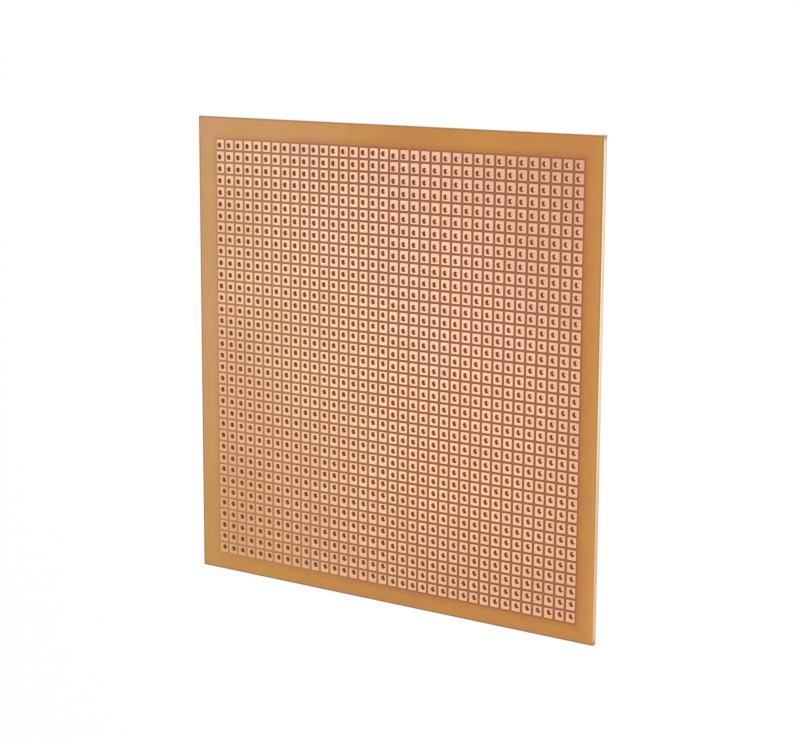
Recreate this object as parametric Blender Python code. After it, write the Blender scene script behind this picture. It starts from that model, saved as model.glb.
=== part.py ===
"""Perforated prototype board, lying with its copper side up.

One sheet of phenolic paper laminate, punched with 36 rows of 36 lead holes at a tenth of an
inch. X runs along the rows, Y along the columns and Z out of the copper side. The origin is
the centre of the underside, and every size is in metres.

The punch makes the board in two strokes of eighteen columns. Each stroke is set down a little
turned, so its holes lean across their pads, and the second lands a little nearer than the first.
The sheet is modelled as one strip for each stroke, and the strips meet face to face between
two columns of holes.
"""

import math

import bpy

# Sheet, set out from its outermost holes
THICKNESS = 0.0012          # laminate and copper foil together
LEFT_MARGIN = 0.00595       # first column of holes to the left edge
RIGHT_MARGIN = 0.00515      # last column to the right edge
NEAR_MARGIN = 0.00505       # first row to the near edge
FAR_MARGIN = 0.00605        # last row to the far edge

# Lead holes
PITCH = 0.00254             # a tenth of an inch, the spacing of leaded parts
ROWS = 36
COLUMNS_IN_STROKE = 18
HOLE_DIAMETER = 0.0010
HOLE_SIDES = 4              # flat sides that stand for the round wall, with its area

# How the punch stands to the sheet
STROKE_NAMES = ("board_left", "board_right")
STROKE_TURN = math.radians(0.26)    # anticlockwise, seen from the copper side
STROKE_STEP = 0.00013               # each stroke lies this much nearer than the one before

LAMINATE_COLOUR = (0.60, 0.33, 0.14, 1.0)
LAMINATE_ROUGHNESS = 0.45


def sheet_size():
    """Width and length of the whole sheet."""
    columns = COLUMNS_IN_STROKE * len(STROKE_NAMES)
    width = LEFT_MARGIN + (columns - 1) * PITCH + RIGHT_MARGIN
    length = NEAR_MARGIN + (ROWS - 1) * PITCH + FAR_MARGIN
    return width, length


def strip_side(stroke):
    """X of the side on which a stroke's strip begins: an edge, or midway between two columns."""
    width = sheet_size()[0]
    if stroke == 0:
        return -width / 2
    if stroke == len(STROKE_NAMES):
        return width / 2
    return -width / 2 + LEFT_MARGIN + (stroke * COLUMNS_IN_STROKE - 0.5) * PITCH


def stroke_middle(stroke):
    """Centre of a stroke's holes, about which the punch is turned."""
    width, length = sheet_size()
    first_column = -width / 2 + LEFT_MARGIN + stroke * COLUMNS_IN_STROKE * PITCH
    first_row = -length / 2 + NEAR_MARGIN
    steps_from_mean = stroke - (len(STROKE_NAMES) - 1) / 2
    x = first_column + (COLUMNS_IN_STROKE - 1) / 2 * PITCH
    y = first_row + (ROWS - 1) / 2 * PITCH - steps_from_mean * STROKE_STEP
    return x, y


def in_punch_frame(stroke, x, y):
    """A place on the sheet, as seen from the punch: from the stroke's middle, turned with it."""
    middle_x, middle_y = stroke_middle(stroke)
    cosine = math.cos(STROKE_TURN)
    sine = math.sin(STROKE_TURN)
    across = (x - middle_x) * cosine + (y - middle_y) * sine
    along = (y - middle_y) * cosine - (x - middle_x) * sine
    return across, along


def strip_outline(stroke):
    """Corners of a stroke's strip of the sheet, in the punch's frame."""
    left = strip_side(stroke)
    right = strip_side(stroke + 1)
    half_length = sheet_size()[1] / 2
    corners = [(left, -half_length), (right, -half_length), (right, half_length), (left, half_length)]
    return [in_punch_frame(stroke, x, y) for x, y in corners]


def hole_outline(column, row):
    """One hole of a stroke, in the punch's frame: flat sides, and the area of the round hole."""
    x = (column - (COLUMNS_IN_STROKE - 1) / 2) * PITCH
    y = (row - (ROWS - 1) / 2) * PITCH
    step = 2 * math.pi / HOLE_SIDES
    corner_radius = HOLE_DIAMETER / 2 * math.sqrt(step / math.sin(step))
    corners = []
    for corner in range(HOLE_SIDES):
        angle = (corner + 0.5) * step
        corners.append((x + corner_radius * math.cos(angle), y + corner_radius * math.sin(angle)))
    return corners


def add_outline(curve, points):
    """One closed run of straight stretches on a flat curve."""
    spline = curve.splines.new("POLY")
    spline.points.add(len(points) - 1)
    for point, (x, y) in zip(spline.points, points):
        point.co = (x, y, 0, 1)
    spline.use_cyclic_u = True


def add_strip(name, stroke, material, collection):
    """The strip of the sheet that one stroke punches, drawn in the punch's frame."""
    curve = bpy.data.curves.new(name, "CURVE")
    curve.dimensions = "2D"
    curve.fill_mode = "BOTH"
    curve.extrude = THICKNESS / 2
    add_outline(curve, strip_outline(stroke))
    for column in range(COLUMNS_IN_STROKE):
        for row in range(ROWS):
            add_outline(curve, hole_outline(column, row))
    curve.materials.append(material)
    strip = bpy.data.objects.new(name, curve)
    strip.location = (*stroke_middle(stroke), THICKNESS / 2)
    strip.rotation_euler.z = STROKE_TURN
    collection.objects.link(strip)


def laminate_material():
    """Tan phenolic paper, pressed smooth."""
    material = bpy.data.materials.new("phenolic_paper_laminate")
    material.use_nodes = True
    shader = material.node_tree.nodes["Principled BSDF"]
    shader.inputs["Base Color"].default_value = LAMINATE_COLOUR
    shader.inputs["Roughness"].default_value = LAMINATE_ROUGHNESS
    shader.inputs["Metallic"].default_value = 0.0
    return material


def build():
    for leftover in list(bpy.data.objects):
        bpy.data.objects.remove(leftover)
    board = bpy.data.collections.new("perforated_prototype_board")
    bpy.context.scene.collection.children.link(board)
    laminate = laminate_material()
    for stroke, name in enumerate(STROKE_NAMES):
        add_strip(name, stroke, laminate, board)


build()
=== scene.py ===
"""Perforated prototype board: the finished laminate, its punched holes and its copper pads."""

import math

import bmesh
import bpy
from mathutils import Matrix, Vector


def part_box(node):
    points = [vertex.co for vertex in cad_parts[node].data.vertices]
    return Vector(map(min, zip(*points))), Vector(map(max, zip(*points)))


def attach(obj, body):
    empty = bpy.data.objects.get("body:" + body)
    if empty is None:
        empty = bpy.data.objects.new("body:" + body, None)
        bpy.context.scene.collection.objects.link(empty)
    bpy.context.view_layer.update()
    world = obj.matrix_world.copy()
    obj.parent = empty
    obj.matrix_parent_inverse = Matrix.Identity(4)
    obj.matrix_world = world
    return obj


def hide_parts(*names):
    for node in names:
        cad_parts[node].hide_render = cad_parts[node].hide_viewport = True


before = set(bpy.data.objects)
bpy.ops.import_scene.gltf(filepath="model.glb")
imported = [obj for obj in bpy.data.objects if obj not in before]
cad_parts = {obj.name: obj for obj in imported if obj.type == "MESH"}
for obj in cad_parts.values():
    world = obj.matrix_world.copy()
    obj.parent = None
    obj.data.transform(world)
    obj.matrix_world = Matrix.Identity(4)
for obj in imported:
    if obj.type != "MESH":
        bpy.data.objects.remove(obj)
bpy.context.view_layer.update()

MM = 0.001

# The sheet and its holes, as the construction has them
SHEET_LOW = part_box("board_left")[0]
SHEET_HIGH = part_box("board_right")[1]
SHEET_HALF = (SHEET_HIGH - SHEET_LOW) / 2
PITCH = 2.54 * MM
COLUMNS = 36
ROWS = 36
STROKES = 2
COLUMNS_IN_STROKE = COLUMNS // STROKES
LEFT_MARGIN = 5.95 * MM
NEAR_MARGIN = 5.05 * MM
HOLE_RADIUS = 0.5 * MM
HOLE_SIDES = 20
BREAKOUT_RADIUS = 0.62 * MM  # below this height the laminate broke away ahead of the punch
BREAKOUT_HEIGHT = 0.3 * MM
STROKE_TURN = math.radians(0.26)
STROKE_STEP = 0.13 * MM
LATTICE_MIDDLE = Vector((
    SHEET_LOW.x + LEFT_MARGIN + (COLUMNS - 1) / 2 * PITCH,
    SHEET_LOW.y + NEAR_MARGIN + (ROWS - 1) / 2 * PITCH,
    0.0,
))

# Copper foil: 35 micrometres, within the sheet's thickness
FOIL = 0.035 * MM
FOIL_TOP = SHEET_HIGH.z
LAMINATE_TOP = FOIL_TOP - FOIL
PAD_WIDTH = 2.0 * MM
PAD_LENGTH = 2.08 * MM
PAD_CORNER = 0.18 * MM
PAD_EDGE_SLOPE = 0.02 * MM
RIM_DEPTH = 0.03 * MM       # the punch drew the foil's edge down into the hole
RIM_WIDTH = 0.05 * MM
ARTWORK_STRETCH = 1.0035    # the etched pattern came out a little longer than the punch's

EDGE_ROUND = 0.06 * MM

SMOOTH_BELOW = math.radians(25)     # round walls look smooth, and flat faces flat up to their rims

HOLE_REACH = 1.1 * BREAKOUT_RADIUS  # what is nearer to a hole's centre belongs to the hole
TOUCHING = 0.01 * MM                # places nearer than this are one place


# Small helpers for modelling

def start_piece(name):
    """The active object, just added, becomes a piece of that name, in edit mode."""
    piece = bpy.context.object
    piece.name = name
    piece.data.name = name
    bpy.ops.object.mode_set(mode="EDIT")
    return piece


def deselect_objects():
    if bpy.context.object and bpy.context.object.mode != "OBJECT":
        bpy.ops.object.mode_set(mode="OBJECT")
    bpy.ops.object.select_all(action="DESELECT")


def select_where(kind, test):
    """Selects the vertices, edges or faces of the piece in edit mode that pass the test."""
    modes = {"verts": "VERT", "edges": "EDGE", "faces": "FACE"}
    bpy.ops.mesh.select_mode(type=modes[kind])
    bpy.ops.mesh.select_all(action="DESELECT")
    mesh = bmesh.from_edit_mesh(bpy.context.object.data)
    for element in getattr(mesh, kind):
        if test(element):
            element.select_set(True)
    mesh.select_flush_mode()
    bmesh.update_edit_mesh(bpy.context.object.data)


def extrude_by(x, y, z):
    bpy.ops.mesh.extrude_region_move(TRANSFORM_OT_translate={"value": (x, y, z)})


def array_piece(piece, columns, rows, merge):
    """Repeats the piece along X and Y at the pitch of the holes."""
    for name, count, offset in (("columns", columns, (PITCH, 0, 0)), ("rows", rows, (0, PITCH, 0))):
        array = piece.modifiers.new(name, "ARRAY")
        array.count = count
        array.use_relative_offset = False
        array.use_constant_offset = True
        array.constant_offset_displace = offset
        array.use_merge_vertices = merge
        array.merge_threshold = TOUCHING / 2
        bpy.ops.object.modifier_apply(modifier=name)


def finish_piece(piece, materials):
    """Places the piece's mesh, points its faces out and gives it its materials."""
    bpy.ops.object.mode_set(mode="EDIT")
    bpy.ops.mesh.select_mode(type="FACE")
    bpy.ops.mesh.select_all(action="SELECT")
    bpy.ops.mesh.normals_make_consistent(inside=False)
    bpy.ops.object.mode_set(mode="OBJECT")
    bpy.ops.object.transform_apply(location=True, rotation=True, scale=True)
    bpy.ops.object.shade_smooth_by_angle(angle=SMOOTH_BELOW)
    for material in materials:
        piece.data.materials.append(material)


# The lattice of holes

def hole_centre(column, row):
    """Where a hole would be if the punch stood true."""
    x = LATTICE_MIDDLE.x + (column - (COLUMNS - 1) / 2) * PITCH
    y = LATTICE_MIDDLE.y + (row - (ROWS - 1) / 2) * PITCH
    return Vector((x, y, 0.0))


def near_a_hole(place):
    """Whether a point is on a hole's wall, before the punch is turned."""
    from_middle = place - LATTICE_MIDDLE
    x = (from_middle.x / PITCH + COLUMNS / 2) % 1 - 0.5
    y = (from_middle.y / PITCH + ROWS / 2) % 1 - 0.5
    return math.hypot(x, y) * PITCH < HOLE_REACH


def stroke_middle(stroke):
    """Centre of a stroke's holes, about which the punch is turned, and how far it is stepped down."""
    first = hole_centre(stroke * COLUMNS_IN_STROKE, 0)
    last = hole_centre((stroke + 1) * COLUMNS_IN_STROKE - 1, ROWS - 1)
    step = (stroke - (STROKES - 1) / 2) * STROKE_STEP
    return (first + last) / 2, step


def turn_holes(piece, strokes):
    """Turns the holes of each stroke about its middle, and steps them along, as the punch did."""
    to_world = piece.matrix_world.copy()
    for stroke in strokes:
        middle, step = stroke_middle(stroke)
        low = middle.x - COLUMNS_IN_STROKE / 2 * PITCH
        high = middle.x + COLUMNS_IN_STROKE / 2 * PITCH

        def in_stroke(vertex):
            place = to_world @ vertex.co
            place.z = 0.0
            return low < place.x < high and near_a_hole(place)

        select_where("verts", in_stroke)
        bpy.ops.transform.rotate(value=-STROKE_TURN, orient_axis="Z", center_override=middle)
        bpy.ops.transform.translate(value=(0, -step, 0))


def add_hole_edge(centre, height):
    """Adds the round edge of one hole to the piece in edit mode."""
    bpy.ops.mesh.primitive_circle_add(
        vertices=HOLE_SIDES, radius=HOLE_RADIUS, fill_type="NOTHING",
        location=(centre.x, centre.y, height))


# The laminate sheet

def inside_outline(place):
    """How far a point lies inside the sheet's outline."""
    x, y = place.x, place.y
    return min(x - SHEET_LOW.x, SHEET_HIGH.x - x, y - SHEET_LOW.y, SHEET_HIGH.y - y)


def add_cell_outline(centre, height):
    """Adds the square edge of one cell of the lattice to the piece in edit mode."""
    bpy.ops.mesh.primitive_plane_add(size=PITCH, location=(centre.x, centre.y, height))
    bpy.ops.mesh.delete(type="ONLY_FACE")


def model_cell():
    """One cell of the sheet, open at its four sides, with its punched hole."""
    deselect_objects()
    first = hole_centre(0, 0)
    bpy.ops.mesh.primitive_plane_add(size=PITCH, location=(first.x, first.y, LAMINATE_TOP))
    cell = start_piece("laminate_sheet")
    bpy.ops.mesh.delete(type="ONLY_FACE")
    add_hole_edge(first, LAMINATE_TOP)
    bpy.ops.mesh.select_all(action="SELECT")
    bpy.ops.mesh.bridge_edge_loops()
    bpy.ops.object.mode_set(mode="OBJECT")
    bpy.ops.object.transform_apply(location=True)
    bpy.ops.object.mode_set(mode="EDIT")

    def on_hole_edge(edge, height):
        return all(
            math.hypot(v.co.x - first.x, v.co.y - first.y) < HOLE_REACH
            and abs(v.co.z - height) < TOUCHING for v in edge.verts)

    select_where("edges", lambda edge: on_hole_edge(edge, LAMINATE_TOP))
    extrude_by(0, 0, BREAKOUT_HEIGHT - LAMINATE_TOP)
    extrude_by(0, 0, SHEET_LOW.z - BREAKOUT_HEIGHT)
    flare = BREAKOUT_RADIUS / HOLE_RADIUS
    bpy.ops.transform.resize(value=(flare, flare, 1), center_override=first)
    add_cell_outline(first, SHEET_LOW.z)
    select_where("edges", lambda edge: all(abs(v.co.z - SHEET_LOW.z) < TOUCHING for v in edge.verts))
    bpy.ops.mesh.bridge_edge_loops()
    bpy.ops.object.mode_set(mode="OBJECT")
    return cell


def add_laminate_sheet(materials):
    """The cell, repeated, with the margins drawn out from both faces and closed round the outline."""
    sheet = model_cell()
    array_piece(sheet, COLUMNS, ROWS, merge=True)

    bpy.ops.object.mode_set(mode="EDIT")
    first = hole_centre(0, 0)
    last = hole_centre(COLUMNS - 1, ROWS - 1)
    half_pitch = PITCH / 2
    sides = (
        (0, first.x - half_pitch, SHEET_LOW.x),
        (0, last.x + half_pitch, SHEET_HIGH.x),
        (1, first.y - half_pitch, SHEET_LOW.y),
        (1, last.y + half_pitch, SHEET_HIGH.y),
    )
    for axis, block_side, sheet_side in sides:
        select_where("edges", lambda edge: all(
            abs(vertex.co[axis] - block_side) < TOUCHING for vertex in edge.verts))
        move = [0.0, 0.0, 0.0]
        move[axis] = sheet_side - block_side
        extrude_by(*move)
    select_where("edges", lambda edge: edge.is_boundary)
    bpy.ops.mesh.bridge_edge_loops()

    def on_outline(face):
        return all(inside_outline(v.co) < TOUCHING for v in face.verts)

    def outline_edge(edge):
        first_end, last_end = edge.verts
        level = abs(first_end.co.z - last_end.co.z) < TOUCHING
        outer_faces = [face for face in edge.link_faces if on_outline(face)]
        return level and len(outer_faces) == 1

    turn_holes(sheet, range(STROKES))
    select_where("edges", outline_edge)
    bpy.ops.mesh.bevel(offset=EDGE_ROUND, segments=2, affect="EDGES")
    finish_piece(sheet, materials)
    assign_laminate_faces(sheet)
    return sheet


def assign_laminate_faces(sheet):
    """Pressed faces keep the first material; cut edges take the second, hole walls the third."""
    for face in sheet.data.polygons:
        if abs(face.normal.z) > 0.9:
            continue
        face.material_index = 1 if inside_outline(face.center) < 2 * EDGE_ROUND else 2


# The copper pads

def model_pad():
    """One square pad of foil with its hole, at the first hole of the lattice."""
    deselect_objects()
    first = hole_centre(0, 0)
    bpy.ops.mesh.primitive_plane_add(size=PAD_WIDTH, location=(first.x, first.y, LAMINATE_TOP))
    pad = start_piece("pad")
    bpy.ops.transform.resize(value=(1, PAD_LENGTH / PAD_WIDTH, 1), center_override=first)
    bpy.ops.mesh.bevel(offset=PAD_CORNER, segments=3, affect="VERTICES")
    bpy.ops.mesh.delete(type="ONLY_FACE")
    add_hole_edge(first, LAMINATE_TOP)
    bpy.ops.mesh.select_all(action="SELECT")
    bpy.ops.mesh.bridge_edge_loops()
    bpy.ops.mesh.select_all(action="SELECT")
    extrude_by(0, 0, FOIL)
    bpy.ops.object.mode_set(mode="OBJECT")
    bpy.ops.object.transform_apply(location=True)
    bpy.ops.object.mode_set(mode="EDIT")

    def distance(vertex):
        return math.hypot(vertex.co.x - first.x, vertex.co.y - first.y)

    def is_top(vertex):
        return vertex.co.z > FOIL_TOP - RIM_DEPTH / 2

    select_where("verts", lambda v: is_top(v) and distance(v) > HOLE_REACH)
    smaller = 1 - 2 * PAD_EDGE_SLOPE / PAD_WIDTH
    bpy.ops.transform.resize(value=(smaller, smaller, 1), center_override=first)
    select_where("edges", lambda e: all(is_top(v) and distance(v) < HOLE_REACH for v in e.verts))
    bpy.ops.mesh.bevel(offset=RIM_DEPTH, segments=1, affect="EDGES")
    select_where("verts", lambda v: is_top(v) and distance(v) < HOLE_REACH)
    wider = (HOLE_RADIUS + RIM_WIDTH) / (HOLE_RADIUS + RIM_DEPTH)
    bpy.ops.transform.resize(value=(wider, wider, 1), center_override=first)
    bpy.ops.object.mode_set(mode="OBJECT")
    return pad


def add_copper_pads(pad, name, stroke, material):
    """The pads that one stroke of the punch went through."""
    deselect_objects()
    pad.select_set(True)
    bpy.context.view_layer.objects.active = pad
    bpy.ops.object.duplicate()
    pads = start_piece(name)
    bpy.ops.mesh.select_all(action="SELECT")
    bpy.ops.transform.translate(value=(stroke * COLUMNS_IN_STROKE * PITCH, 0, 0))
    bpy.ops.object.mode_set(mode="OBJECT")
    array_piece(pads, COLUMNS_IN_STROKE, ROWS, merge=False)
    bpy.ops.object.mode_set(mode="EDIT")
    select_where("verts", lambda v: not near_a_hole(Vector((v.co.x, v.co.y, 0))))
    bpy.ops.transform.resize(value=(1, ARTWORK_STRETCH, 1), center_override=LATTICE_MIDDLE)
    turn_holes(pads, (stroke,))
    finish_piece(pads, [material])
    return pads


# Materials

MIX_A = 6           # a colour Mix node's inputs, which share their names with its other inputs
MIX_B = 7
MIX_RESULT = 2

NOISE_LOW = 0.35    # most of a noise texture lies between these
NOISE_HIGH = 0.65

OUTERMOST = 45.0    # millimetres from the board's middle to its outermost pads


def linear(hex_colour):
    """An sRGB hex colour as the linear values that a shader takes."""
    channels = [int(hex_colour[i:i + 2], 16) / 255 for i in (0, 2, 4)]
    return tuple(c / 12.92 if c <= 0.04045 else ((c + 0.055) / 1.055) ** 2.4 for c in channels) + (1.0,)


def node(tree, kind, inputs=None, **settings):
    """Adds a node: its settings, then each input's value or the socket that feeds it."""
    new = tree.nodes.new(kind)
    for name, value in settings.items():
        setattr(new, name, value)
    for name, value in (inputs or {}).items():
        if isinstance(value, bpy.types.NodeSocket):
            tree.links.new(value, new.inputs[name])
        else:
            new.inputs[name].default_value = value
    return new


def new_material(name):
    material = bpy.data.materials.new(name)
    material.use_nodes = True
    tree = material.node_tree
    return material, tree, tree.nodes["Principled BSDF"]


def in_millimetres(tree, middle):
    """A surface's place on the board, in millimetres from a middle."""
    place = node(tree, "ShaderNodeTexCoord").outputs["Object"]
    return node(tree, "ShaderNodeMapping", {
        "Vector": place, "Location": -middle / MM, "Scale": (1 / MM,) * 3}).outputs["Vector"]


def from_outline(tree):
    """How far a point lies inside the sheet's sides and ends, in millimetres, as X and Y sockets."""
    place = in_millimetres(tree, Vector())
    from_middle = node(tree, "ShaderNodeVectorMath", {0: place}, operation="ABSOLUTE").outputs[0]
    inside = node(tree, "ShaderNodeVectorMath", {
        0: tuple(SHEET_HALF / MM), 1: from_middle}, operation="SUBTRACT").outputs[0]
    return node(tree, "ShaderNodeSeparateXYZ", {"Vector": inside}).outputs[:2]


def in_pad_lattice(tree):
    """A point's place in pitches of the etched pattern: whole numbers run midway between the pads."""
    return node(tree, "ShaderNodeMapping", {
        "Vector": node(tree, "ShaderNodeTexCoord").outputs["Object"],
        "Location": (
            COLUMNS / 2 - LATTICE_MIDDLE.x / PITCH,
            ROWS / 2 - LATTICE_MIDDLE.y / PITCH / ARTWORK_STRETCH,
            0.5,
        ),
        "Scale": (1 / PITCH, 1 / PITCH / ARTWORK_STRETCH, 0.0),
    }).outputs["Vector"]


def from_hole_centre(tree, shift=(0.0, 0.0)):
    """How far a point lies from its cell's hole centre, or from a place shifted from it, in millimetres."""
    place = node(tree, "ShaderNodeTexCoord").outputs["Object"]
    in_punch_frames = []
    for stroke in range(STROKES):
        middle, step = stroke_middle(stroke)
        middle.y -= step
        in_pitches = Matrix.Rotation(-STROKE_TURN, 3, "Z") @ (-middle / PITCH)
        in_punch_frames.append(node(tree, "ShaderNodeMapping", {
            "Vector": place, "Location": in_pitches, "Rotation": (0, 0, -STROKE_TURN),
            "Scale": (1 / PITCH, 1 / PITCH, 0.0)}).outputs["Vector"])
    x = node(tree, "ShaderNodeSeparateXYZ", {"Vector": place}).outputs["X"]
    past_seam = node(tree, "ShaderNodeMath", {
        0: x, 1: LATTICE_MIDDLE.x}, operation="GREATER_THAN").outputs[0]
    own_frame = node(tree, "ShaderNodeMix", {
        "Factor": past_seam, MIX_A: in_punch_frames[0], MIX_B: in_punch_frames[1],
    }, data_type="RGBA").outputs[MIX_RESULT]
    in_cell = node(tree, "ShaderNodeVectorMath", {0: own_frame}, operation="FRACTION").outputs[0]
    from_centre = node(tree, "ShaderNodeVectorMath", {
        0: in_cell, 1: (0.5, 0.5, 0.0)}, operation="SUBTRACT").outputs[0]
    flat = node(tree, "ShaderNodeVectorMath", {
        0: from_centre, 1: (PITCH / MM, PITCH / MM, 0.0), 2: (-shift[0], -shift[1], 0.0),
    }, operation="MULTIPLY_ADD").outputs[0]
    return node(tree, "ShaderNodeVectorMath", {0: flat}, operation="LENGTH").outputs["Value"]


def phenolic_paper_face():
    """Phenolic paper laminate, pressed between polished plates: brown paper plies in amber resin.

    The eye sees a smooth, half-gloss tan with soft clouds, paler towards the far left corner, and
    short fibres from close by. Flux lacquer was rolled over the pads, and turns the copper side
    redder and darker between them and a little way past them.
    """
    material, tree, shader = new_material("phenolic_paper_pressed_face")
    place = in_millimetres(tree, Vector())
    split = node(tree, "ShaderNodeSeparateXYZ", {"Vector": place})
    x, y, z = split.outputs[:3]
    on_copper_side = node(tree, "ShaderNodeMath", {0: z, 1: 0.5}, operation="GREATER_THAN").outputs[0]

    # Clouds of resin, 13 mm along the rows and 6 mm across them
    along_rows = node(tree, "ShaderNodeVectorMath", {
        0: place, 1: (1 / 13, 1 / 6, 1 / 6)}, operation="MULTIPLY")
    clouds = node(tree, "ShaderNodeTexNoise", {
        "Vector": along_rows.outputs[0], "Scale": 1.0, "Detail": 3.0}).outputs[0]
    cloud_share = node(tree, "ShaderNodeMapRange", {
        "Value": clouds, "From Min": NOISE_LOW, "From Max": NOISE_HIGH})
    tone = node(tree, "ShaderNodeMix", {
        "Factor": cloud_share.outputs[0], MIX_A: linear("BF843A"), MIX_B: linear("BF7D40"),
    }, data_type="RGBA").outputs[MIX_RESULT]

    # The far left corner is paler, up to a slant across the sheet with a ragged end: partly the laminate's
    # own tone, partly a painted sheen of light on its gloss
    leftward = node(tree, "ShaderNodeVectorMath", {0: place, 1: (-1.0, 0.5, 0.0)}, operation="DOT_PRODUCT")
    ragged = node(tree, "ShaderNodeMath", {
        0: clouds, 1: 10.0, 2: leftward.outputs["Value"]}, operation="MULTIPLY_ADD").outputs[0]
    fading = node(tree, "ShaderNodeMapRange", {
        "Value": ragged, "From Min": 20.0, "From Max": 60.0, "To Max": 0.55}).outputs[0]
    up_to_slant = node(tree, "ShaderNodeMapRange", {
        "Value": ragged, "From Min": 37.5, "From Max": 40.0, "To Max": 0.25}).outputs[0]
    along_left = node(tree, "ShaderNodeMapRange", {
        "Value": x, "From Min": -38.0, "From Max": -50.0, "To Max": 0.35}).outputs[0]
    slant_share = node(tree, "ShaderNodeMath", {0: fading, 1: up_to_slant}, operation="ADD").outputs[0]
    pale_tone_and_sheen_share = node(tree, "ShaderNodeMath", {
        0: slant_share, 1: along_left}, operation="ADD", use_clamp=True).outputs[0]
    along_press = node(tree, "ShaderNodeVectorMath", {
        0: place, 1: (1 / 8, 1 / 3, 1 / 3)}, operation="MULTIPLY")
    blotches = node(tree, "ShaderNodeTexNoise", {
        "Vector": along_press.outputs[0], "Scale": 1.0, "Detail": 3.0}).outputs[0]
    blotch_share = node(tree, "ShaderNodeMapRange", {
        "Value": blotches, "From Min": NOISE_LOW, "From Max": NOISE_HIGH},
        interpolation_type="SMOOTHSTEP").outputs[0]
    pale_tone = node(tree, "ShaderNodeMix", {
        "Factor": blotch_share, MIX_A: linear("CA9563"), MIX_B: linear("C59459"),
    }, data_type="RGBA").outputs[MIX_RESULT]
    tone = node(tree, "ShaderNodeMix", {
        "Factor": pale_tone_and_sheen_share, MIX_A: tone, MIX_B: pale_tone,
    }, data_type="RGBA").outputs[MIX_RESULT]

    # The near left corner is more golden
    near_left = node(tree, "ShaderNodeVectorMath", {
        0: place, 1: (-1.0, -1.0, 0.0)}, operation="DOT_PRODUCT")
    golden_share = node(tree, "ShaderNodeMapRange", {
        "Value": near_left.outputs["Value"], "From Min": 50.0, "From Max": 85.0, "To Max": 0.45}).outputs[0]
    tone = node(tree, "ShaderNodeMix", {
        "Factor": golden_share, MIX_A: tone, MIX_B: linear("C09040"),
    }, data_type="RGBA").outputs[MIX_RESULT]

    # Paper fibres, 0.3 mm wide so that they show, and three times as long
    along_grain = node(tree, "ShaderNodeVectorMath", {
        0: place, 1: (1 / 0.9, 1 / 0.3, 1.0)}, operation="MULTIPLY")
    fibres = node(tree, "ShaderNodeTexNoise", {
        "Vector": along_grain.outputs[0], "Scale": 1.0, "Detail": 4.0, "Distortion": 0.8}).outputs[0]
    fibre_share = node(tree, "ShaderNodeMapRange", {
        "Value": fibres, "From Min": 0.45, "From Max": 0.75, "To Max": 0.15}).outputs[0]
    tone = node(tree, "ShaderNodeMix", {
        "Factor": fibre_share, MIX_A: tone, MIX_B: linear("9C6432"),
    }, data_type="RGBA").outputs[MIX_RESULT]

    # Flux lacquer: how far a point lies past the outermost pads
    from_lattice = in_millimetres(tree, LATTICE_MIDDLE)
    across = node(tree, "ShaderNodeVectorMath", {0: from_lattice}, operation="ABSOLUTE").outputs[0]
    half_width = ((COLUMNS - 1) * PITCH + PAD_WIDTH) / 2 / MM
    half_length = ((ROWS - 1) * PITCH * ARTWORK_STRETCH + PAD_LENGTH) / 2 / MM
    beyond = node(tree, "ShaderNodeVectorMath", {
        0: across, 1: (half_width, half_length, 0.0)}, operation="SUBTRACT").outputs[0]
    beyond_split = node(tree, "ShaderNodeSeparateXYZ", {"Vector": beyond})
    past_pads = node(tree, "ShaderNodeMath", {
        0: beyond_split.outputs["X"], 1: beyond_split.outputs["Y"]}, operation="MAXIMUM").outputs[0]
    runs = node(tree, "ShaderNodeTexNoise", {"Vector": place, "Scale": 1 / 1.4, "Detail": 4.0}).outputs[0]
    past_runs = node(tree, "ShaderNodeMath", {
        0: runs, 1: -1.2, 2: past_pads}, operation="MULTIPLY_ADD").outputs[0]
    thin_lacquer = node(tree, "ShaderNodeMapRange", {
        "Value": past_runs, "From Min": -0.3, "From Max": 1.3, "To Min": 1.0, "To Max": 0.0},
        interpolation_type="SMOOTHSTEP").outputs[0]
    thinner_left = node(tree, "ShaderNodeMapRange", {
        "Value": x, "From Min": -20.0, "From Max": -OUTERMOST, "To Min": 1.0, "To Max": 0.4}).outputs[0]
    thin_layer = node(tree, "ShaderNodeMath", {
        0: thin_lacquer, 1: thinner_left}, operation="MULTIPLY").outputs[0]
    thin_share = node(tree, "ShaderNodeMath", {
        0: thin_layer, 1: on_copper_side}, operation="MULTIPLY").outputs[0]
    tone = node(tree, "ShaderNodeMix", {
        "Factor": thin_share, MIX_A: tone, MIX_B: linear("F4E2DC"),
    }, data_type="RGBA", blend_type="MULTIPLY").outputs[MIX_RESULT]

    # Between the pads it lies thick, and is more worn towards the left
    thick_lacquer = node(tree, "ShaderNodeMapRange", {
        "Value": past_pads, "From Min": 0.05, "From Max": 0.55, "To Min": 1.0, "To Max": 0.0},
        interpolation_type="SMOOTHSTEP").outputs[0]
    thick_share = node(tree, "ShaderNodeMath", {
        0: thick_lacquer, 1: on_copper_side}, operation="MULTIPLY").outputs[0]
    towards_left = node(tree, "ShaderNodeMapRange", {
        "Value": x, "From Min": 0.0, "From Max": -OUTERMOST}).outputs[0]
    worn = node(tree, "ShaderNodeVectorMath", {0: place, 1: (-1.0, -0.25, 0.0)}, operation="DOT_PRODUCT")
    worn_share = node(tree, "ShaderNodeMapRange", {
        "Value": worn.outputs["Value"], "From Min": 0.0, "From Max": 54.0}).outputs[0]
    between_pads = node(tree, "ShaderNodeMix", {
        "Factor": worn_share, MIX_A: linear("8C5434"), MIX_B: linear("B27C5C"),
    }, data_type="RGBA").outputs[MIX_RESULT]
    at_crossings = node(tree, "ShaderNodeMix", {
        "Factor": towards_left, MIX_A: linear("9E6540"), MIX_B: linear("B07D5A"),
    }, data_type="RGBA").outputs[MIX_RESULT]

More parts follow.
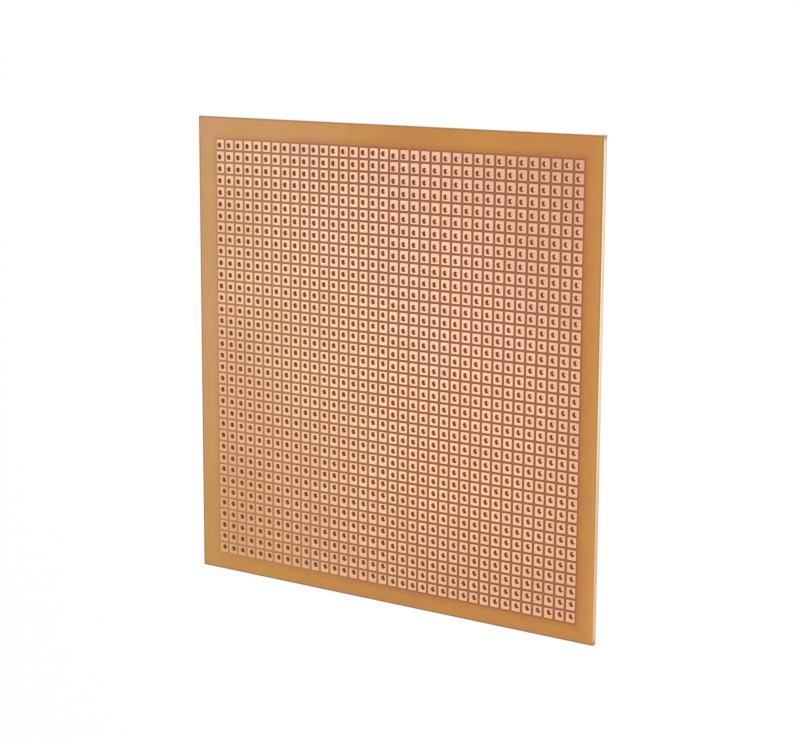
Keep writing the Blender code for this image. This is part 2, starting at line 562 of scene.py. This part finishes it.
    # It lies thinner where the gaps cross, and is yellower towards the near edge
    in_cell = node(tree, "ShaderNodeVectorMath", {0: in_pad_lattice(tree)}, operation="FRACTION").outputs[0]
    from_pad_centre = node(tree, "ShaderNodeVectorMath", {
        0: in_cell, 1: (0.5, 0.5, 0.0)}, operation="SUBTRACT")
    off_centre = node(tree, "ShaderNodeVectorMath", {0: from_pad_centre.outputs[0]}, operation="ABSOLUTE")
    off_split = node(tree, "ShaderNodeSeparateXYZ", {"Vector": off_centre.outputs[0]})
    into_crossing = node(tree, "ShaderNodeMath", {
        0: off_split.outputs["X"], 1: off_split.outputs["Y"]}, operation="MINIMUM").outputs[0]
    crossing_share = node(tree, "ShaderNodeMapRange", {
        "Value": into_crossing, "From Min": 0.35, "From Max": 0.45},
        interpolation_type="SMOOTHSTEP").outputs[0]
    thick_tone = node(tree, "ShaderNodeMix", {
        "Factor": crossing_share, MIX_A: between_pads, MIX_B: at_crossings,
    }, data_type="RGBA").outputs[MIX_RESULT]
    nearward = node(tree, "ShaderNodeMapRange", {
        "Value": y, "From Min": OUTERMOST, "From Max": -OUTERMOST}).outputs[0]
    thick_tone = node(tree, "ShaderNodeMix", {
        "Factor": nearward, MIX_A: thick_tone, MIX_B: linear("FFFFEA"),
    }, data_type="RGBA", blend_type="MULTIPLY").outputs[MIX_RESULT]
    tone = node(tree, "ShaderNodeMix", {
        "Factor": thick_share, MIX_A: tone, MIX_B: thick_tone,
    }, data_type="RGBA").outputs[MIX_RESULT]

    # A golden strip along the right edge, where the resin ran thick in the press
    from_right = node(tree, "ShaderNodeMath", {0: SHEET_HALF.x / MM, 1: x}, operation="SUBTRACT").outputs[0]
    resin_share = node(tree, "ShaderNodeMapRange", {
        "Value": from_right, "From Min": 0.3, "From Max": 2.0, "To Min": 0.8, "To Max": 0.0},
        interpolation_type="SMOOTHSTEP").outputs[0]
    resin_tone = node(tree, "ShaderNodeMix", {
        "Factor": nearward, MIX_A: linear("C08640"), MIX_B: linear("C78F46"),
    }, data_type="RGBA").outputs[MIX_RESULT]
    tone = node(tree, "ShaderNodeMix", {
        "Factor": resin_share, MIX_A: tone, MIX_B: resin_tone,
    }, data_type="RGBA").outputs[MIX_RESULT]

    # Painted shade along the rounded outline: a dark line, darkest at the corners, and least along the near
    # right
    from_side, from_end = from_outline(tree)
    near_right = node(tree, "ShaderNodeVectorMath", {
        0: place, 1: (1.0, -1.0, 0.0)}, operation="DOT_PRODUCT")
    side_level = node(tree, "ShaderNodeMapRange", {
        "Value": near_right.outputs["Value"], "From Min": 20.0, "From Max": 90.0,
        "To Min": 0.7, "To Max": 0.1})
    end_level = node(tree, "ShaderNodeMapRange", {
        "Value": y, "From Min": OUTERMOST, "From Max": -OUTERMOST, "To Min": 0.65, "To Max": 0.85})
    side_line = node(tree, "ShaderNodeMapRange", {
        "Value": from_side, "From Min": 0.2, "From Max": 0.5,
        "To Min": side_level.outputs[0], "To Max": 0.0})
    end_line = node(tree, "ShaderNodeMapRange", {
        "Value": from_end, "From Min": 0.2, "From Max": 0.5,
        "To Min": end_level.outputs[0], "To Max": 0.0})
    line_share = node(tree, "ShaderNodeMath", {
        0: side_line.outputs[0], 1: end_line.outputs[0]}, operation="MAXIMUM").outputs[0]
    from_corner = node(tree, "ShaderNodeMath", {0: from_side, 1: from_end}, operation="ADD").outputs[0]
    corner_share = node(tree, "ShaderNodeMapRange", {
        "Value": from_corner, "From Min": 0.4, "From Max": 1.6, "To Min": 0.6, "To Max": 0.0}).outputs[0]
    darkened_outline = node(tree, "ShaderNodeMath", {0: line_share, 1: corner_share}, operation="MAXIMUM").outputs[0]
    tone = node(tree, "ShaderNodeMix", {
        "Factor": darkened_outline, MIX_A: tone, MIX_B: linear("8F744C"),
    }, data_type="RGBA").outputs[MIX_RESULT]

    # On the other side the punch broke the resin white round each hole
    broken = node(tree, "ShaderNodeMapRange", {
        "Value": from_hole_centre(tree), "From Min": 0.66, "From Max": 0.85,
        "To Min": 0.5, "To Max": 0.0}).outputs[0]
    among_holes = node(tree, "ShaderNodeMath", {0: past_pads, 1: 0.4}, operation="LESS_THAN").outputs[0]
    other_side = node(tree, "ShaderNodeMath", {
        0: among_holes, 1: on_copper_side}, operation="SUBTRACT", use_clamp=True).outputs[0]
    broken_share = node(tree, "ShaderNodeMath", {0: broken, 1: other_side}, operation="MULTIPLY").outputs[0]
    tone = node(tree, "ShaderNodeMix", {
        "Factor": broken_share, MIX_A: tone, MIX_B: linear("D9B488"),
    }, data_type="RGBA").outputs[MIX_RESULT]

    roughness = node(tree, "ShaderNodeMapRange", {
        "Value": clouds, "From Min": 0.3, "From Max": 0.7, "To Min": 0.36, "To Max": 0.48}).outputs[0]
    bump = node(tree, "ShaderNodeBump", {"Strength": 0.25, "Distance": 0.01 * MM, "Height": fibres})
    tree.links.new(tone, shader.inputs["Base Color"])
    tree.links.new(roughness, shader.inputs["Roughness"])
    tree.links.new(bump.outputs[0], shader.inputs["Normal"])
    shader.inputs["IOR"].default_value = 1.55
    shader.inputs["Specular IOR Level"].default_value = 0.3
    return material


def phenolic_paper_edge():
    """The same laminate cut by a guillotine: its plies seen end on.

    The edge is matt and paler than the face, with fine lines along it. Painted light from a strong lamp at
    the right makes its upper third paler still, and fades towards the bottom and the near corners.
    """
    material, tree, shader = new_material("phenolic_paper_guillotined_edge")
    place = in_millimetres(tree, Vector())
    split = node(tree, "ShaderNodeSeparateXYZ", {"Vector": place})
    y, z = split.outputs[1:3]

    # Plies 0.12 mm thick, which wander over 5 mm
    along_plies = node(tree, "ShaderNodeVectorMath", {
        0: place, 1: (1 / 5, 1 / 5, 1 / 0.12)}, operation="MULTIPLY")
    plies = node(tree, "ShaderNodeTexNoise", {
        "Vector": along_plies.outputs[0], "Scale": 1.0, "Detail": 2.0}).outputs[0]
    ply_share = node(tree, "ShaderNodeMapRange", {
        "Value": plies, "From Min": NOISE_LOW, "From Max": NOISE_HIGH}).outputs[0]
    # Upper part: the edge's own pale tone with painted light from a strong lamp at the right on it
    pale_tone_and_painted_light = node(tree, "ShaderNodeMix", {
        "Factor": ply_share, MIX_A: linear("EBDCBC"), MIX_B: linear("F4EAD2"),
    }, data_type="RGBA").outputs[MIX_RESULT]
    # The edge's own tone, where the painted light fades
    own_edge_tone = node(tree, "ShaderNodeMix", {
        "Factor": ply_share, MIX_A: linear("D2AE8A"), MIX_B: linear("E2C0A0"),
    }, data_type="RGBA").outputs[MIX_RESULT]

    # Torn fibres, 0.25 mm
    fibres = node(tree, "ShaderNodeTexNoise", {
        "Vector": place, "Scale": 1 / 0.25, "Detail": 4.0}).outputs[0]
    # The painted light fades towards the bottom of the edge, and towards the near corners
    depth = node(tree, "ShaderNodeMath", {0: fibres, 1: -0.5, 2: z}, operation="MULTIPLY_ADD").outputs[0]
    towards_bottom = node(tree, "ShaderNodeMapRange", {
        "Value": depth, "From Min": 0.65, "From Max": 0.4, "To Min": 0.0, "To Max": 0.45}).outputs[0]
    towards_corner = node(tree, "ShaderNodeMapRange", {
        "Value": y, "From Min": 0.0, "From Max": -32.0, "To Min": 0.0, "To Max": 0.9},
        interpolation_type="SMOOTHSTEP").outputs[0]
    own_tone_share = node(tree, "ShaderNodeMath", {
        0: towards_bottom, 1: towards_corner}, operation="ADD", use_clamp=True).outputs[0]
    tone = node(tree, "ShaderNodeMix", {
        "Factor": own_tone_share, MIX_A: pale_tone_and_painted_light, MIX_B: own_edge_tone,
    }, data_type="RGBA").outputs[MIX_RESULT]

    # The corners are crushed and soiled for a millimetre
    from_side, from_end = from_outline(tree)
    from_corner = node(tree, "ShaderNodeMath", {0: from_side, 1: from_end}, operation="ADD").outputs[0]
    darkened_outline = node(tree, "ShaderNodeMapRange", {
        "Value": from_corner, "From Min": 0.3, "From Max": 1.3, "To Min": 0.7, "To Max": 0.0}).outputs[0]
    tone = node(tree, "ShaderNodeMix", {
        "Factor": darkened_outline, MIX_A: tone, MIX_B: linear("8E7A5E"),
    }, data_type="RGBA").outputs[MIX_RESULT]
    roughness = node(tree, "ShaderNodeMapRange", {
        "Value": own_tone_share, "To Min": 0.55, "To Max": 0.9}).outputs[0]
    relief = node(tree, "ShaderNodeMath", {0: fibres, 1: plies}, operation="ADD").outputs[0]
    bump = node(tree, "ShaderNodeBump", {"Strength": 0.6, "Distance": 0.03 * MM, "Height": relief})
    tree.links.new(tone, shader.inputs["Base Color"])
    tree.links.new(roughness, shader.inputs["Roughness"])
    tree.links.new(bump.outputs[0], shader.inputs["Normal"])
    shader.inputs["IOR"].default_value = 1.5
    return material


def phenolic_paper_wall():
    """The same laminate where the punch went through: crushed paper, dark with resin.

    The punch left upright drag marks, and the lower part broke away ahead of it, rough and paler: partly
    the broken resin's own tone and partly painted light that lifts the shade at the foot of the hole.
    """
    material, tree, shader = new_material("phenolic_paper_punched_wall")
    place = in_millimetres(tree, Vector())
    z = node(tree, "ShaderNodeSeparateXYZ", {"Vector": place}).outputs["Z"]
    along_punch = node(tree, "ShaderNodeVectorMath", {
        0: place, 1: (1 / 0.09, 1 / 0.09, 1 / 0.7)}, operation="MULTIPLY")
    drags = node(tree, "ShaderNodeTexNoise", {
        "Vector": along_punch.outputs[0], "Scale": 1.0, "Detail": 2.0}).outputs[0]
    drag_share = node(tree, "ShaderNodeMapRange", {
        "Value": drags, "From Min": NOISE_LOW, "From Max": NOISE_HIGH}).outputs[0]
    crushed = node(tree, "ShaderNodeMix", {
        "Factor": drag_share, MIX_A: linear("A86C40"), MIX_B: linear("BF8450"),
    }, data_type="RGBA").outputs[MIX_RESULT]
    # Paler lower part: partly the broken resin's own tone, partly painted light against the shade at the
    # foot of the hole
    broken_share = node(tree, "ShaderNodeMapRange", {
        "Value": z, "From Min": 0.4, "From Max": 0.2, "To Min": 0.0, "To Max": 0.4}).outputs[0]
    tone = node(tree, "ShaderNodeMix", {
        "Factor": broken_share, MIX_A: crushed, MIX_B: linear("E0AE8A"),
    }, data_type="RGBA").outputs[MIX_RESULT]
    bump = node(tree, "ShaderNodeBump", {"Strength": 0.5, "Distance": 0.02 * MM, "Height": drags})
    tree.links.new(tone, shader.inputs["Base Color"])
    tree.links.new(bump.outputs[0], shader.inputs["Normal"])
    shader.inputs["Roughness"].default_value = 0.75
    shader.inputs["IOR"].default_value = 1.5
    return material


def etched_copper():
    """Copper foil, etched, scrubbed and lacquered: a soft pink metal that has begun to dull.

    One broad patch carries a painted highlight, each pad took the scrubbing a little differently, and
    a brown ring of painted shade lies where the punch drew the foil down into the hole.
    """
    material, tree, shader = new_material("etched_copper_foil")
    place = in_millimetres(tree, Vector())

    # Painted highlight: the foil is painted brightest in a broad patch, standing for a broad reflection of
    # light, that leans from the far left to the near right, and duller away from it
    clouds = node(tree, "ShaderNodeTexNoise", {"Vector": place, "Scale": 1 / 16, "Detail": 3.0}).outputs[0]
    in_painted_highlight = node(tree, "ShaderNodeMapping", {
        "Vector": place, "Location": (2.0, 7.0, 0.0), "Rotation": (0, 0, math.radians(-52)),
        "Scale": (71.0, 42.0, 1000.0)}, vector_type="TEXTURE").outputs["Vector"]
    from_painted_highlight = node(tree, "ShaderNodeVectorMath", {0: in_painted_highlight}, operation="LENGTH").outputs["Value"]
    clouded = node(tree, "ShaderNodeMath", {
        0: clouds, 1: 0.5, 2: from_painted_highlight}, operation="MULTIPLY_ADD").outputs[0]
    painted_highlight_falloff = node(tree, "ShaderNodeMapRange", {
        "Value": clouded, "From Min": 0.3, "From Max": 2.0}, interpolation_type="SMOOTHSTEP").outputs[0]
    tone = node(tree, "ShaderNodeMix", {
        "Factor": painted_highlight_falloff, MIX_A: linear("ECC3A4"), MIX_B: linear("C69872"),
    }, data_type="RGBA").outputs[MIX_RESULT]

    # It is pinker towards the right, and the lacquer on it yellower towards the near edge
    split = node(tree, "ShaderNodeSeparateXYZ", {"Vector": place})
    rightward = node(tree, "ShaderNodeMapRange", {
        "Value": split.outputs["X"], "From Min": -OUTERMOST, "From Max": OUTERMOST}).outputs[0]
    nearward = node(tree, "ShaderNodeMapRange", {
        "Value": split.outputs["Y"], "From Min": OUTERMOST, "From Max": -OUTERMOST}).outputs[0]
    tone = node(tree, "ShaderNodeMix", {
        "Factor": rightward, MIX_A: tone, MIX_B: linear("FFF4FF"),
    }, data_type="RGBA", blend_type="MULTIPLY").outputs[MIX_RESULT]
    tone = node(tree, "ShaderNodeMix", {
        "Factor": nearward, MIX_A: tone, MIX_B: linear("FFFFF3"),
    }, data_type="RGBA", blend_type="MULTIPLY").outputs[MIX_RESULT]

    # One random number for each pad, from the pad's place in the lattice
    pad_index = node(tree, "ShaderNodeVectorMath", {0: in_pad_lattice(tree)}, operation="FLOOR").outputs[0]
    chance = node(tree, "ShaderNodeTexWhiteNoise", {
        "Vector": pad_index}, noise_dimensions="3D").outputs["Color"]
    chances = node(tree, "ShaderNodeSeparateXYZ", {"Vector": chance})
    dull_share = node(tree, "ShaderNodeMapRange", {
        "Value": chances.outputs["X"], "To Max": 0.14}).outputs[0]
    tone = node(tree, "ShaderNodeMix", {
        "Factor": dull_share, MIX_A: tone, MIX_B: linear("B98560"),
    }, data_type="RGBA").outputs[MIX_RESULT]
    hue = node(tree, "ShaderNodeMapRange", {
        "Value": chances.outputs["Y"], "To Min": 0.497, "To Max": 0.503}).outputs[0]
    tone = node(tree, "ShaderNodeHueSaturation", {"Hue": hue, "Color": tone}).outputs[0]

    # Scrubbing marks 0.12 mm wide and up to 4 mm long, turned a little from the rows
    scrubbed = node(tree, "ShaderNodeMapping", {
        "Vector": place, "Rotation": (0, 0, math.radians(24))}).outputs["Vector"]
    along_marks = node(tree, "ShaderNodeVectorMath", {
        0: scrubbed, 1: (1 / 4, 1 / 0.12, 1.0)}, operation="MULTIPLY")
    marks = node(tree, "ShaderNodeTexNoise", {
        "Vector": along_marks.outputs[0], "Scale": 1.0, "Detail": 3.0}).outputs[0]

    # Painted shade: a brown ring round the hole, standing for the dark reflection of the rim that the punch
    # drew down, thickest at the far left
    painted_rim_shade_share = node(tree, "ShaderNodeMapRange", {
        "Value": from_hole_centre(tree, (-0.03, 0.02)), "From Min": 0.52, "From Max": 0.63,
        "To Min": 0.75, "To Max": 0.0}, interpolation_type="SMOOTHSTEP").outputs[0]
    tone = node(tree, "ShaderNodeMix", {
        "Factor": painted_rim_shade_share, MIX_A: tone, MIX_B: linear("825034"),
    }, data_type="RGBA").outputs[MIX_RESULT]

    roughness = node(tree, "ShaderNodeMapRange", {
        "Value": marks, "From Min": 0.3, "From Max": 0.7, "To Min": 0.3, "To Max": 0.42}).outputs[0]
    bump = node(tree, "ShaderNodeBump", {"Strength": 0.3, "Distance": 0.004 * MM, "Height": marks})
    tree.links.new(tone, shader.inputs["Base Color"])
    tree.links.new(roughness, shader.inputs["Roughness"])
    tree.links.new(bump.outputs[0], shader.inputs["Normal"])
    shader.inputs["Metallic"].default_value = 1.0
    return material


def background_ray(tree):
    """1 for what the camera sees straight, mirrored or through glass, and 0 for light."""
    path = node(tree, "ShaderNodeLightPath")
    mirrored = node(tree, "ShaderNodeMath", {
        0: path.outputs["Is Camera Ray"], 1: path.outputs["Is Glossy Ray"]}, operation="MAXIMUM").outputs[0]
    return node(tree, "ShaderNodeMath", {
        0: mirrored, 1: path.outputs["Is Transmission Ray"]}, operation="MAXIMUM").outputs[0]


def white_paper():
    """Seamless white paper: white to the camera, with part of the board's shadow on it.

    Beneath the board it has a painted warm glow, for the light that the laminate lets through, which shows
    in the holes. Light comes down them from the right, so a painted pool of light lies at the foot of their
    left walls alone, with painted shade in the rest of each hole.
    """
    material, tree, shader = new_material("seamless_white_paper")
    from_side, from_end = from_outline(tree)
    from_edge = node(tree, "ShaderNodeMath", {0: from_side, 1: from_end}, operation="MINIMUM").outputs[0]
    beneath = node(tree, "ShaderNodeMapRange", {
        "Value": from_edge, "From Min": 1.0, "From Max": 3.0}).outputs[0]
    # Beneath the board the paper is painted a warm tone, for the light that the laminate lets through
    tone = node(tree, "ShaderNodeMix", {
        "Factor": beneath, MIX_A: linear("FFFFFF"), MIX_B: linear("FFCDA4"),
    }, data_type="RGBA").outputs[MIX_RESULT]
    tree.links.new(tone, shader.inputs["Base Color"])
    shader.inputs["Roughness"].default_value = 0.9
    white = node(tree, "ShaderNodeEmission", {"Color": tone, "Strength": 1.0}).outputs[0]
    # Painted pool of light at the foot of each hole's left wall, and painted shade in the rest of the hole
    painted_hole_light_and_shade = node(tree, "ShaderNodeMapRange", {
        "Value": from_hole_centre(tree, (0.2, 0.1)), "From Min": 0.36, "From Max": 0.46,
        "To Min": PAINTED_SHADE_WHITENESS, "To Max": PAINTED_GLOW_WHITENESS}).outputs[0]
    whiteness_and_painted_glow = node(tree, "ShaderNodeMapRange", {
        "Value": beneath, "To Min": FLOOR_WHITENESS, "To Max": painted_hole_light_and_shade}).outputs[0]
    white_share = node(tree, "ShaderNodeMath", {
        0: background_ray(tree), 1: whiteness_and_painted_glow}, operation="MULTIPLY").outputs[0]
    mixed = node(tree, "ShaderNodeMixShader", {0: white_share, 1: shader.outputs[0], 2: white}).outputs[0]
    tree.links.new(mixed, tree.nodes["Material Output"].inputs["Surface"])
    return material


# Floor, light and camera

FLOOR_SIZE = 3.0
FLOOR_DROP = 0.02 * MM
FLOOR_WHITENESS = 0.8       # share of the floor's tone that no shadow darkens
PAINTED_GLOW_WHITENESS = 0.82       # the same beneath the board: a painted glow, for light through the laminate
PAINTED_SHADE_WHITENESS = 0.15      # the same in the painted shade in a hole

SKY_LIGHT = 0.68            # of the level at which a colour renders as written
LEFT_SOFTBOX_PLACE = Vector((-0.60, -0.10, 0.85))
LEFT_SOFTBOX_SIDE = 0.8
LEFT_SOFTBOX_LEVEL = 0.06
RIGHT_SOFTBOX_PLACE = Vector((0.55, 0.25, 0.80))
RIGHT_SOFTBOX_SIDE = 0.6
RIGHT_SOFTBOX_LEVEL = 0.32

# From the board's middle: places found by matching its four corners in the photograph
CAMERA_PLACE = Vector((240.4, 75.4, 338.4)) * MM
CAMERA_AIM = Vector((3.4, -0.3, 1.2)) * MM
CAMERA_ROLL = math.radians(0.31)
CAMERA_LENS = 91.9


def add_floor():
    deselect_objects()
    bpy.ops.mesh.primitive_plane_add(size=FLOOR_SIZE, location=(0, 0, SHEET_LOW.z - FLOOR_DROP))
    floor = bpy.context.object
    floor.name = "floor"
    floor.data.materials.append(white_paper())


def add_softbox(name, place, side, level):
    """A square lamp that faces the board's middle and lights its face to a share of the full level."""
    light = bpy.data.lights.new(name, "AREA")
    light.shape = "SQUARE"
    light.size = side
    lamp = bpy.data.objects.new(name, light)
    bpy.context.scene.collection.objects.link(lamp)
    lamp.location = place
    lamp.rotation_euler = (-place).to_track_quat("-Z", "Y").to_euler()
    distance = place.length
    light.energy = level * (math.pi * distance) ** 2 * distance / place.z


def add_light():
    world = bpy.data.worlds.new("studio")
    bpy.context.scene.world = world
    world.use_nodes = True
    tree = world.node_tree
    strength = node(tree, "ShaderNodeMapRange", {
        "Value": background_ray(tree), "To Min": SKY_LIGHT, "To Max": 1.0}).outputs[0]
    background = tree.nodes["Background"]
    background.inputs["Color"].default_value = (1, 1, 1, 1)
    tree.links.new(strength, background.inputs["Strength"])
    add_softbox("left_softbox", LEFT_SOFTBOX_PLACE, LEFT_SOFTBOX_SIDE, LEFT_SOFTBOX_LEVEL)
    add_softbox("right_softbox", RIGHT_SOFTBOX_PLACE, RIGHT_SOFTBOX_SIDE, RIGHT_SOFTBOX_LEVEL)


def add_camera():
    data = bpy.data.cameras.new("camera")
    data.lens = CAMERA_LENS
    data.sensor_width = 36.0
    data.clip_start = 0.01
    camera = bpy.data.objects.new("camera", data)
    bpy.context.scene.collection.objects.link(camera)
    ahead = (CAMERA_AIM - CAMERA_PLACE).normalized()
    right = ahead.cross(Vector((0, 1, 0))).normalized()
    up = right.cross(ahead)
    turned_right = math.cos(CAMERA_ROLL) * right + math.sin(CAMERA_ROLL) * up
    turned_up = math.cos(CAMERA_ROLL) * up - math.sin(CAMERA_ROLL) * right
    rotation = Matrix((turned_right, turned_up, -ahead)).transposed()
    camera.matrix_world = Matrix.Translation(CAMERA_PLACE) @ rotation.to_4x4()
    bpy.context.scene.camera = camera


add_camera()

sheet = add_laminate_sheet([phenolic_paper_face(), phenolic_paper_edge(), phenolic_paper_wall()])
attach(sheet, "root")
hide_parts("board_left", "board_right")

copper = etched_copper()
pad = model_pad()
for stroke, name in enumerate(("copper_pads_left", "copper_pads_right")):
    pads = add_copper_pads(pad, name, stroke, copper)
    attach(pads, "root")
bpy.data.objects.remove(pad)

add_floor()
add_light()
bpy.context.scene.view_settings.view_transform = "Standard"
